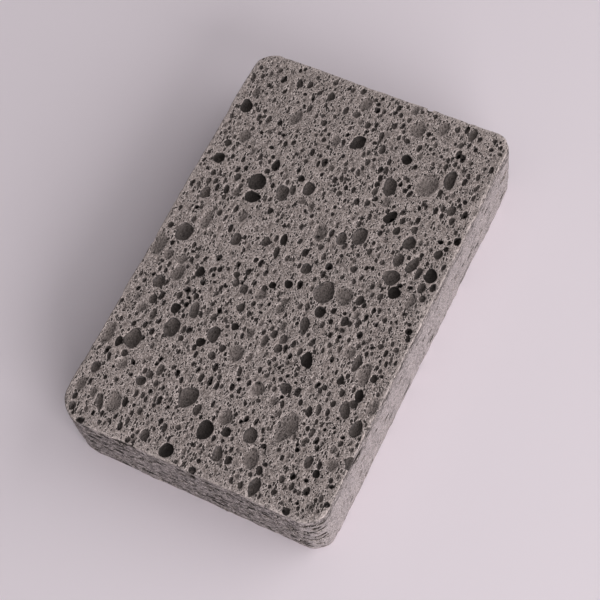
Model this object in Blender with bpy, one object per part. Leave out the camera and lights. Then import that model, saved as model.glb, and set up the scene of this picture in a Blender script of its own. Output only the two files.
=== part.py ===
"""Grey cleaning sponge: one flat block with round corners, full of open cells.

The block lies on its underside. X runs across its width, Y along its length, and the origin is at the
middle of the underside. A cell is a bubble that the knife opened when the block was cut: a mouth in the
face, a shoulder under it and a point at the bottom. Bubbles are drawn out along the block and pressed flat,
so they are long ovals in the top and the underside and thin slots in the sides.
"""
import math
import random

import bmesh
import bpy
from mathutils import Matrix, Vector

MM = 0.001

# The block
LENGTH = 110.0 * MM
WIDTH = 70.0 * MM
THICKNESS = 20.0 * MM
# The corners, anticlockwise as seen from above, by the sides that they lie on, and the radius of each: the
# photograph shows them cut unevenly
CORNERS = ((1, 1), (-1, 1), (-1, -1), (1, -1))
CORNER_RADII = (4.5 * MM, 5.5 * MM, 7.5 * MM, 5.5 * MM)
CORNER_STEPS = 8
RIM_RADIUS = 0.7 * MM
RIM_STEPS = 2

# The kinds of cell: depth as a share of the mouth's width, the depth that no cell of the kind passes, and the
# rings between mouth and bottom, each with its own width as a share of the mouth and how far down it lies
HOLE = {"depth": 1.15, "deepest": 3.2 * MM, "rings": [(1.08, 0.6)]}
PIT = {"depth": 0.7, "deepest": 1.8 * MM, "rings": [(0.82, 0.6)]}
DISH = {"depth": 0.28, "deepest": 0.9 * MM, "rings": [(0.7, 0.55)]}
NICK = {"depth": 0.65, "deepest": 1.0 * MM, "rings": []}

CELL_UNEVENNESS = 0.09
CUTTER_LIFT = 0.2 * MM
CELL_WALL = 0.2 * MM

# Large cells in the top face, in millimetres from its middle: x, y, mouth across, mouth along, and the lean
# of the long axis to the left in degrees
TOP_HOLES = [
    (-0.2, 39.2, 3.0, 4.5, -22), (-31.2, 37.9, 3.1, 3.8, 15), (24.2, 45.6, 1.3, 2.3, 5),
    (13.0, 39.4, 2.8, 2.5, 0), (-16.3, 25.2, 1.9, 3.0, 5), (-18.6, 19.4, 4.2, 4.9, 0),
    (-17.8, 15.0, 3.8, 3.1, 0), (-30.6, 21.6, 2.7, 3.0, 0), (16.1, 23.1, 2.3, 3.8, -20),
    (31.6, 12.5, 2.9, 4.0, 0), (25.5, 5.1, 2.8, 3.4, 0), (-5.1, 7.4, 1.6, 3.0, 10),
    (-20.0, -8.6, 2.1, 2.8, 0), (-2.1, -4.7, 1.7, 1.6, 0), (1.3, -3.0, 1.9, 2.2, 10),
    (11.6, -6.5, 2.3, 3.0, 15), (18.0, -6.4, 1.8, 2.4, 0), (33.0, -2.7, 1.6, 1.6, 0),
    (22.8, -8.1, 1.3, 1.9, 0), (30.6, -16.9, 1.4, 2.0, 0), (-5.4, -18.1, 1.6, 1.8, 0),
    (14.2, -18.9, 2.6, 4.2, 20), (-20.9, -19.6, 2.3, 2.6, 10), (-11.1, -25.0, 2.0, 2.2, 0),
    (29.3, -22.0, 2.0, 3.0, 10), (-29.4, -32.7, 1.5, 2.8, 10), (20.4, -30.3, 1.5, 2.6, 15),
    (0.3, -44.2, 3.5, 5.0, 5), (5.1, -42.7, 2.0, 2.4, 0), (-20.3, -45.8, 1.3, 2.6, 20),
    (8.7, -48.6, 1.5, 2.2, 0), (28.6, -43.2, 1.7, 2.0, 0), (16.4, -47.8, 1.4, 2.3, 20),
    (-5.6, -52.3, 2.9, 4.0, -15),
]
TOP_PITS = [
    (-4.2, 46.5, 1.9, 2.0, 0), (25.1, 52.1, 2.0, 3.9, 0), (25.2, 38.2, 2.7, 5.3, 5),
    (12.4, 30.8, 3.1, 5.4, 10), (29.0, 30.6, 2.1, 2.9, 0), (-5.8, 22.5, 2.7, 4.0, 5),
    (-11.4, 18.9, 2.9, 4.6, 15), (23.4, 18.6, 3.1, 3.6, 0), (11.5, 15.6, 3.4, 4.8, 0),
    (-29.2, 11.5, 2.4, 3.4, 0), (22.8, 13.4, 2.4, 3.7, 5), (26.5, 13.5, 2.3, 4.8, -12),
    (7.7, 13.2, 2.3, 3.6, 0), (23.2, 8.5, 3.9, 4.1, 0), (-16.0, 2.9, 2.5, 3.6, 5),
    (3.4, 2.5, 2.6, 2.7, 0), (-28.8, -0.3, 4.4, 5.0, 0), (10.2, -1.4, 4.8, 6.0, 5),
    (-8.0, -8.4, 1.9, 2.6, 0), (-10.6, -7.6, 1.5, 2.2, 10), (9.7, -11.2, 2.2, 4.4, 15),
    (-28.2, -14.8, 2.8, 3.4, 0), (25.3, -14.9, 1.9, 4.3, 0), (-16.5, -18.1, 2.2, 4.6, 10),
    (2.8, -18.6, 1.7, 3.2, 5), (6.7, -16.4, 1.9, 2.4, 0), (6.6, -19.0, 2.1, 2.2, 0),
    (-9.2, -21.9, 3.1, 4.1, 5), (-19.3, -24.4, 3.6, 5.2, 10), (-25.2, -23.0, 1.5, 3.1, 5),
    (12.8, -27.3, 2.8, 2.6, 0), (-7.0, -27.0, 1.9, 1.9, 0), (27.8, -26.6, 2.3, 4.4, 20),
    (-26.6, -30.6, 4.0, 5.3, 5), (32.2, -29.8, 2.7, 4.3, 0), (-16.6, -35.2, 1.6, 3.0, 5),
    (-7.2, -38.6, 4.2, 5.7, -10), (-18.3, -37.3, 1.6, 1.9, 0), (-19.6, -39.6, 2.6, 2.3, 0),
    (-31.2, -40.8, 2.1, 3.2, 0), (10.6, -41.1, 3.3, 3.9, 0), (25.7, -41.4, 2.1, 3.0, 0),
    (-26.0, -48.1, 1.6, 4.4, 25), (5.6, -48.3, 2.3, 3.8, 5), (-12.1, -51.1, 2.1, 3.3, 5),
    (17.1, -51.8, 2.5, 4.6, 5), (-31.5, -51.8, 1.8, 2.3, 0),
]
TOP_DISHES = [
    (-18.2, 39.8, 3.1, 4.9, -5), (-3.4, 50.2, 3.2, 4.6, -10), (11.8, 48.4, 4.2, 5.0, 5),
    (17.6, 51.1, 2.9, 4.6, 5), (-27.7, 29.8, 3.1, 4.0, 0), (20.6, 34.9, 5.4, 7.4, 0),
    (2.2, 12.8, 3.4, 5.0, 0), (-17.7, 9.4, 2.7, 3.9, 5), (-25.4, 4.8, 2.8, 5.6, 0),
    (30.0, 4.7, 2.4, 4.6, 0), (15.0, -0.4, 4.4, 4.8, 0), (-33.3, -5.6, 3.8, 6.8, 10),
    (-29.5, -7.2, 2.5, 3.2, 0), (-25.7, -7.1, 2.8, 2.8, 0), (-3.6, -8.0, 3.0, 3.2, 0),
    (-25.0, -10.9, 3.4, 4.8, 0), (22.7, -13.1, 2.5, 3.6, 0), (28.0, -16.7, 2.9, 6.8, 5),
    (-28.8, -22.6, 2.7, 2.8, 0), (-2.0, -24.0, 3.6, 4.8, 0), (33.2, -23.3, 2.9, 4.8, 0),
    (6.9, -30.0, 3.6, 3.6, 0), (-33.0, -31.8, 3.0, 6.4, 0), (17.4, -35.8, 4.8, 8.6, -8),
    (-25.9, -37.4, 2.6, 3.2, 0), (3.3, -39.4, 3.4, 4.2, 0), (30.8, -39.7, 2.9, 3.6, 0),
    (-23.1, -46.7, 3.9, 6.2, 10), (13.2, -46.0, 3.8, 5.2, 10), (-32.5, -46.0, 2.6, 4.3, 0),
]

# Smaller cells between the large ones, and the cells of the other faces
SMALL_MOUTH = (0.9 * MM, 1.6 * MM)
SMALL_STRETCH = (1.15, 1.7)
SMALL_LEAN = (-5.0, 20.0)
TOP_SMALL_SPACING = 4.7 * MM
UNDERSIDE_MOUTH = (1.9 * MM, 3.2 * MM)
UNDERSIDE_SPACING = 12.5 * MM
UNDERSIDE_SMALL_SPACING = 8.0 * MM
REST_PATCH_RADIUS = 2.5 * MM
SLOT_HEIGHT = (0.45 * MM, 0.9 * MM)
SLOT_STRETCH = (2.4, 5.0)
SLOT_SPACING = 10.0 * MM
SLOT_ROWS = 5
RIM_MARGIN = 1.6 * MM

SEED = 7


def new_object(name, bm):
    mesh = bpy.data.meshes.new(name)
    bm.to_mesh(mesh)
    bm.free()
    made = bpy.data.objects.new(name, mesh)
    bpy.context.scene.collection.objects.link(made)
    return made


def outline():
    """The block's outline seen from above, anticlockwise, with an arc at each corner."""
    points = []
    for quarter, ((side_x, side_y), radius) in enumerate(zip(CORNERS, CORNER_RADII)):
        centre = Vector((side_x * (WIDTH / 2 - radius), side_y * (LENGTH / 2 - radius), 0))
        for step in range(CORNER_STEPS + 1):
            angle = math.radians(90) * (quarter + step / CORNER_STEPS)
            points.append(centre + radius * Vector((math.cos(angle), math.sin(angle), 0)))
    return points


def make_block():
    """The block before its cells are opened, with its two rims slightly rounded."""
    bm = bmesh.new()
    underside = bm.faces.new([bm.verts.new(point) for point in outline()])
    top = bmesh.ops.extrude_face_region(bm, geom=[underside])
    lifted = [item for item in top["geom"] if isinstance(item, bmesh.types.BMVert)]
    bmesh.ops.translate(bm, verts=lifted, vec=(0, 0, THICKNESS))
    bmesh.ops.recalc_face_normals(bm, faces=bm.faces)
    rims = [edge for edge in bm.edges if edge.verts[0].co.z == edge.verts[1].co.z]
    bmesh.ops.bevel(bm, geom=rims, offset=RIM_RADIUS, segments=RIM_STEPS, profile=0.5, affect="EDGES")
    return new_object("sponge", bm)


def face_frame(origin, along, outward):
    """A place on a face: local X across the cell, local Y along it, local Z out of the block."""
    across = along.cross(outward)
    return Matrix.Translation(origin) @ Matrix((across, along, outward)).transposed().to_4x4()


def cell_sides(mouth):
    """Larger mouths get more sides."""
    return max(5, min(9, round(3.9 + 1.2 * mouth / MM)))


def add_cell(bm, place, across, along, kind, rng):
    """The bubble behind one mouth, as a closed cutter that stands a little out of the face."""
    depth = min(kind["depth"] * min(across, along), kind["deepest"])
    next_scale, next_share = (kind["rings"] + [(0, 1)])[0]
    lift = CUTTER_LIFT * rng.uniform(0.9, 1.1)
    lifted_scale = 1 + (1 - next_scale) * lift / (next_share * depth)
    levels = [(lifted_scale, lift)] + [(scale, -share * depth) for scale, share in kind["rings"]]
    sides = cell_sides(math.sqrt(across * along))
    first = rng.uniform(0, math.tau)
    reach = [rng.uniform(1 - CELL_UNEVENNESS, 1 + CELL_UNEVENNESS) for side in range(sides)]
    rings = []
    for scale, height in levels:
        ring = []
        for side in range(sides):
            angle = first + math.tau * side / sides
            x = across / 2 * scale * reach[side] * math.cos(angle)
            y = along / 2 * scale * reach[side] * math.sin(angle)
            ring.append(bm.verts.new(place @ Vector((x, y, height))))
        rings.append(ring)
    bottom = bm.verts.new(place @ Vector((0, 0, -depth)))
    bm.faces.new(rings[0])
    for side in range(sides):
        after = (side + 1) % sides
        for upper, lower in zip(rings, rings[1:]):
            bm.faces.new((upper[side], lower[side], lower[after], upper[after]))
        bm.faces.new((rings[-1][side], bottom, rings[-1][after]))


def clear_of(taken, x, y, reach):
    """True where a cell of this reach leaves a wall to each one in the list."""
    return all(math.hypot(x - other_x, y - other_y) > reach + other_reach + CELL_WALL
               for other_x, other_y, other_reach in taken)


def flat_place(x, y, z, lean, outward):
    """A place on the top or the underside, its long axis leaning from the block's."""
    along = Vector((-math.sin(math.radians(lean)), math.cos(math.radians(lean)), 0))
    return face_frame(Vector((x, y, z)), along, Vector((0, 0, outward)))


def spread(width, length, spacing, rng):
    """Chance places in a rectangle round the origin, one to each square of the spacing."""
    columns = max(1, round(width / spacing))
    rows = max(1, round(length / spacing))
    for row in range(rows):
        for column in range(columns):
            x = width * ((column + rng.random()) / columns - 0.5)
            y = length * ((row + rng.random()) / rows - 0.5)
            yield x, y


def inside_outline(x, y, margin):
    """True where a point of a face lies at least the margin inside the rounded outline."""
    radius = CORNER_RADII[CORNERS.index((1 if x > 0 else -1, 1 if y > 0 else -1))]
    over_x = max(abs(x) - (WIDTH / 2 - radius), 0)
    over_y = max(abs(y) - (LENGTH / 2 - radius), 0)
    return math.hypot(over_x, over_y) < radius - margin


def scatter(bm, rng, z, outward, mouths, kinds, spacing, taken):
    """Cells spread over the top or the underside, wherever the cells in the list leave room."""
    for x, y in spread(WIDTH, LENGTH, spacing, rng):
        across = rng.uniform(*mouths)
        along = across * rng.uniform(*SMALL_STRETCH)
        lean = rng.uniform(*SMALL_LEAN)
        kind = rng.choice(kinds)
        if inside_outline(x, y, along / 2 + RIM_RADIUS) and clear_of(taken, x, y, along / 2):
            add_cell(bm, flat_place(x, y, z, lean, outward), across, along, kind, rng)
            taken.append((x, y, along / 2))


def open_top(bm, rng):
    """The large cells where they lie, then small ones in the room that they leave."""
    taken = []
    for kind, cells in ((HOLE, TOP_HOLES), (PIT, TOP_PITS), (DISH, TOP_DISHES)):
        for x, y, across, along, lean in cells:
            place = flat_place(x * MM, y * MM, THICKNESS, lean, 1)
            add_cell(bm, place, across * MM, along * MM, kind, rng)
            taken.append((x * MM, y * MM, max(across, along) * MM / 2))
    scatter(bm, rng, THICKNESS, 1, SMALL_MOUTH, [NICK], TOP_SMALL_SPACING, taken)


def open_underside(bm, rng):
    """Cells of every size, clear of a small plain patch in the middle that the block rests on."""
    taken = [(0, 0, REST_PATCH_RADIUS)]
    scatter(bm, rng, 0, -1, UNDERSIDE_MOUTH, [HOLE, PIT, PIT, DISH], UNDERSIDE_SPACING, taken)
    scatter(bm, rng, 0, -1, SMALL_MOUTH, [NICK], UNDERSIDE_SMALL_SPACING, taken)


def walk_outline(distance):
    """The point of the outline that lies this far along it, and the direction of the outline there."""
    corners = outline()
    for start, end in zip(corners, corners[1:] + corners[:1]):
        run = (end - start).length
        if distance <= run:
            break
        distance -= run
    along = (end - start).normalized()
    return start + along * distance, along


def open_sides(bm, rng):
    """Thin slots in rows along the four sides and round the corners."""
    corners = outline()
    around = sum((end - start).length for start, end in zip(corners, corners[1:] + corners[:1]))
    slots = round(around / SLOT_SPACING)
    for row in range(SLOT_ROWS):
        for slot in range(slots):
            point, along = walk_outline(around * (slot + rng.random()) / slots)
            height = RIM_MARGIN + (THICKNESS - 2 * RIM_MARGIN) * (row + rng.random()) / SLOT_ROWS
            place = face_frame(point + Vector((0, 0, height)), along, along.cross(Vector((0, 0, 1))))
            across = rng.uniform(*SLOT_HEIGHT)
            add_cell(bm, place, across, across * rng.uniform(*SLOT_STRETCH), NICK, rng)


def make_cells():
    """All the bubbles that the faces cut open, in one cutter."""
    bm = bmesh.new()
    for face, open_face in enumerate((open_top, open_underside, open_sides)):
        open_face(bm, random.Random(SEED + face))
    bmesh.ops.recalc_face_normals(bm, faces=bm.faces)
    cutter = new_object("cells", bm)
    cutter.hide_render = True
    cutter.display_type = "WIRE"
    return cutter


def sponge_material():
    material = bpy.data.materials.new("grey_cellulose")
    material.use_nodes = True
    shader = material.node_tree.nodes["Principled BSDF"]
    shader.inputs["Base Color"].default_value = (0.26, 0.23, 0.22, 1)
    shader.inputs["Roughness"].default_value = 0.9
    shader.inputs["Metallic"].default_value = 0.0
    return material


def build():
    for old in list(bpy.data.objects):
        bpy.data.objects.remove(old)
    sponge = make_block()
    cut = sponge.modifiers.new("open_cells", "BOOLEAN")
    cut.operation = "DIFFERENCE"
    cut.solver = "EXACT"
    cut.use_self = True
    cut.object = make_cells()
    sponge.data.materials.append(sponge_material())


build()
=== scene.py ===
import math
from typing import NamedTuple

import bpy
import numpy as np
from mathutils import Matrix, Vector


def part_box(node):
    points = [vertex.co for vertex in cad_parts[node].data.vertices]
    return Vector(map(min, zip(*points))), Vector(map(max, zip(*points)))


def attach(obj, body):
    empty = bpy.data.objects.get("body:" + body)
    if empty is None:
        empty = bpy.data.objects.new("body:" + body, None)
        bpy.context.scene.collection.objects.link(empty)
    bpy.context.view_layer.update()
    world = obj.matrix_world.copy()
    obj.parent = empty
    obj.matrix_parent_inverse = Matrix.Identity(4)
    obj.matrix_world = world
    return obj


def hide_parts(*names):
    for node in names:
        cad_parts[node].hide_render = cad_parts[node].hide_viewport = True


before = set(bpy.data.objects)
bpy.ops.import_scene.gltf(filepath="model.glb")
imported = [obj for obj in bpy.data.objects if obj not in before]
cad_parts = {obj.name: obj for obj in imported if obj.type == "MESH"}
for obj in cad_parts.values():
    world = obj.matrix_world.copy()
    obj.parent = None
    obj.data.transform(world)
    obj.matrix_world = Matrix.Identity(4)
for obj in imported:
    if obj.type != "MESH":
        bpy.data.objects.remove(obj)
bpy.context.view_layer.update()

# The sponge is made in millimetres and turned into metres at the end. X runs across it, Y along it.
MM = 0.001
LOW, HIGH = (np.array(corner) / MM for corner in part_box("sponge"))
WIDTH, LENGTH, THICKNESS = HIGH - LOW

# The block. Its corners follow each other anticlockwise as seen from above, and the first is where X and Y
# are largest. Its rims are slightly rounded, and carry a painted highlight for about this far. Its sides are
# uneven, in long waves and in short ones.
CORNER_RADII = (4.5, 5.5, 7.5, 5.5)
RIM_RADIUS = 0.4
RIM_HIGHLIGHT_WIDTH = 0.35
SIDE_WAVE = 0.06
SIDE_WAVELENGTHS = ((9.0, 9.0, 4.0), (1.2, 1.2, 0.7))

# The grid that the solid is worked out on, and the finer sheet on which the mouths of its cells are marked
STEP = 0.2
GRID_MARGIN = 1.5
SHEET_STEP = 0.1

# The mesh: how many triangles go to the top face with the cells this far down, and how many to the rest
TOP_DEPTH = 2.5
TOP_TRIANGLES = 128000
REST_TRIANGLES = 69000
SHARP_ANGLE = math.radians(55)

# How each grid point is averaged with its neighbours: to smooth the surface, and to tell ridges from pockets
SMOOTHING_WEIGHTS = (0.1, 0.8, 0.1)
POCKET_WEIGHTS = (0.1, 0.2, 0.4, 0.2, 0.1)

rng = np.random.default_rng(11)

# Large cells in the top face, as in the CAD model: x, y, mouth across, mouth along, lean to the left
HOLES = [
    (-0.2, 39.2, 3.0, 4.5, -22), (-31.2, 37.9, 3.1, 3.8, 15), (24.2, 45.6, 1.3, 2.3, 5),
    (13.0, 39.4, 2.8, 2.5, 0), (-16.3, 25.2, 1.9, 3.0, 5), (-18.6, 19.4, 4.2, 4.9, 0),
    (-17.8, 15.0, 3.8, 3.1, 0), (-30.6, 21.6, 2.7, 3.0, 0), (16.1, 23.1, 2.3, 3.8, -20),
    (31.6, 12.5, 2.9, 4.0, 0), (25.5, 5.1, 2.8, 3.4, 0), (-5.1, 7.4, 1.6, 3.0, 10),
    (-20.0, -8.6, 2.1, 2.8, 0), (-2.1, -4.7, 1.7, 1.6, 0), (1.3, -3.0, 1.9, 2.2, 10),
    (11.6, -6.5, 2.3, 3.0, 15), (18.0, -6.4, 1.8, 2.4, 0), (33.0, -2.7, 1.6, 1.6, 0),
    (22.8, -8.1, 1.3, 1.9, 0), (30.6, -16.9, 1.4, 2.0, 0), (-5.4, -18.1, 1.6, 1.8, 0),
    (14.2, -18.9, 2.6, 4.2, 20), (-20.9, -19.6, 2.3, 2.6, 10), (-11.1, -25.0, 2.0, 2.2, 0),
    (29.3, -22.0, 2.0, 3.0, 10), (-29.4, -32.7, 1.5, 2.8, 10), (20.4, -30.3, 1.5, 2.6, 15),
    (0.3, -44.2, 3.5, 5.0, 5), (5.1, -42.7, 2.0, 2.4, 0), (-20.3, -45.8, 1.3, 2.6, 20),
    (8.7, -48.6, 1.5, 2.2, 0), (28.6, -43.2, 1.7, 2.0, 0), (16.4, -47.8, 1.4, 2.3, 20),
    (-5.6, -52.3, 2.9, 4.0, -15),
]
PITS = [
    (-4.2, 46.5, 1.9, 2.0, 0), (25.1, 52.1, 2.0, 3.9, 0), (25.2, 38.2, 2.7, 5.3, 5),
    (12.4, 30.8, 3.1, 5.4, 10), (29.0, 30.6, 2.1, 2.9, 0), (-5.8, 22.5, 2.7, 4.0, 5),
    (-11.4, 18.9, 2.9, 4.6, 15), (23.4, 18.6, 3.1, 3.6, 0), (11.5, 15.6, 3.4, 4.8, 0),
    (-29.2, 11.5, 2.4, 3.4, 0), (22.8, 13.4, 2.4, 3.7, 5), (26.5, 13.5, 2.3, 4.8, -12),
    (7.7, 13.2, 2.3, 3.6, 0), (23.2, 8.5, 3.9, 4.1, 0), (-16.0, 2.9, 2.5, 3.6, 5),
    (3.4, 2.5, 2.6, 2.7, 0), (-28.8, -0.3, 4.4, 5.0, 0), (10.2, -1.4, 4.8, 6.0, 5),
    (-8.0, -8.4, 1.9, 2.6, 0), (-10.6, -7.6, 1.5, 2.2, 10), (9.7, -11.2, 2.2, 4.4, 15),
    (-28.2, -14.8, 2.8, 3.4, 0), (25.3, -14.9, 1.9, 4.3, 0), (-16.5, -18.1, 2.2, 4.6, 10),
    (2.8, -18.6, 1.7, 3.2, 5), (6.7, -16.4, 1.9, 2.4, 0), (6.6, -19.0, 2.1, 2.2, 0),
    (-9.2, -21.9, 3.1, 4.1, 5), (-19.3, -24.4, 3.6, 5.2, 10), (-25.2, -23.0, 1.5, 3.1, 5),
    (12.8, -27.3, 2.8, 2.6, 0), (-7.0, -27.0, 1.9, 1.9, 0), (27.8, -26.6, 2.3, 4.4, 20),
    (-26.6, -30.6, 4.0, 5.3, 5), (32.2, -29.8, 2.7, 4.3, 0), (-16.6, -35.2, 1.6, 3.0, 5),
    (-7.2, -38.6, 4.2, 5.7, -10), (-18.3, -37.3, 1.6, 1.9, 0), (-19.6, -39.6, 2.6, 2.3, 0),
    (-31.2, -40.8, 2.1, 3.2, 0), (10.6, -41.1, 3.3, 3.9, 0), (25.7, -41.4, 2.1, 3.0, 0),
    (-26.0, -48.1, 1.6, 4.4, 25), (5.6, -48.3, 2.3, 3.8, 5), (-12.1, -51.1, 2.1, 3.3, 5),
    (17.1, -51.8, 2.5, 4.6, 5), (-31.5, -51.8, 1.8, 2.3, 0),
]
DISHES = [
    (-18.2, 39.8, 3.1, 4.9, -5), (-3.4, 50.2, 3.2, 4.6, -10), (11.8, 48.4, 4.2, 5.0, 5),
    (17.6, 51.1, 2.9, 4.6, 5), (-27.7, 29.8, 3.1, 4.0, 0), (20.6, 34.9, 5.4, 7.4, 0),
    (2.2, 12.8, 3.4, 5.0, 0), (-17.7, 9.4, 2.7, 3.9, 5), (-25.4, 4.8, 2.8, 5.6, 0),
    (30.0, 4.7, 2.4, 4.6, 0), (15.0, -0.4, 4.4, 4.8, 0), (-33.3, -5.6, 3.8, 6.8, 10),
    (-29.5, -7.2, 2.5, 3.2, 0), (-25.7, -7.1, 2.8, 2.8, 0), (-3.6, -8.0, 3.0, 3.2, 0),
    (-25.0, -10.9, 3.4, 4.8, 0), (22.7, -13.1, 2.5, 3.6, 0), (28.0, -16.7, 2.9, 6.8, 5),
    (-28.8, -22.6, 2.7, 2.8, 0), (-2.0, -24.0, 3.6, 4.8, 0), (33.2, -23.3, 2.9, 4.8, 0),
    (6.9, -30.0, 3.6, 3.6, 0), (-33.0, -31.8, 3.0, 6.4, 0), (17.4, -35.8, 4.8, 8.6, -8),
    (-25.9, -37.4, 2.6, 3.2, 0), (3.3, -39.4, 3.4, 4.2, 0), (30.8, -39.7, 2.9, 3.6, 0),
    (-23.1, -46.7, 3.9, 6.2, 10), (13.2, -46.0, 3.8, 5.2, 10), (-32.5, -46.0, 2.6, 4.3, 0),
]

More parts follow.
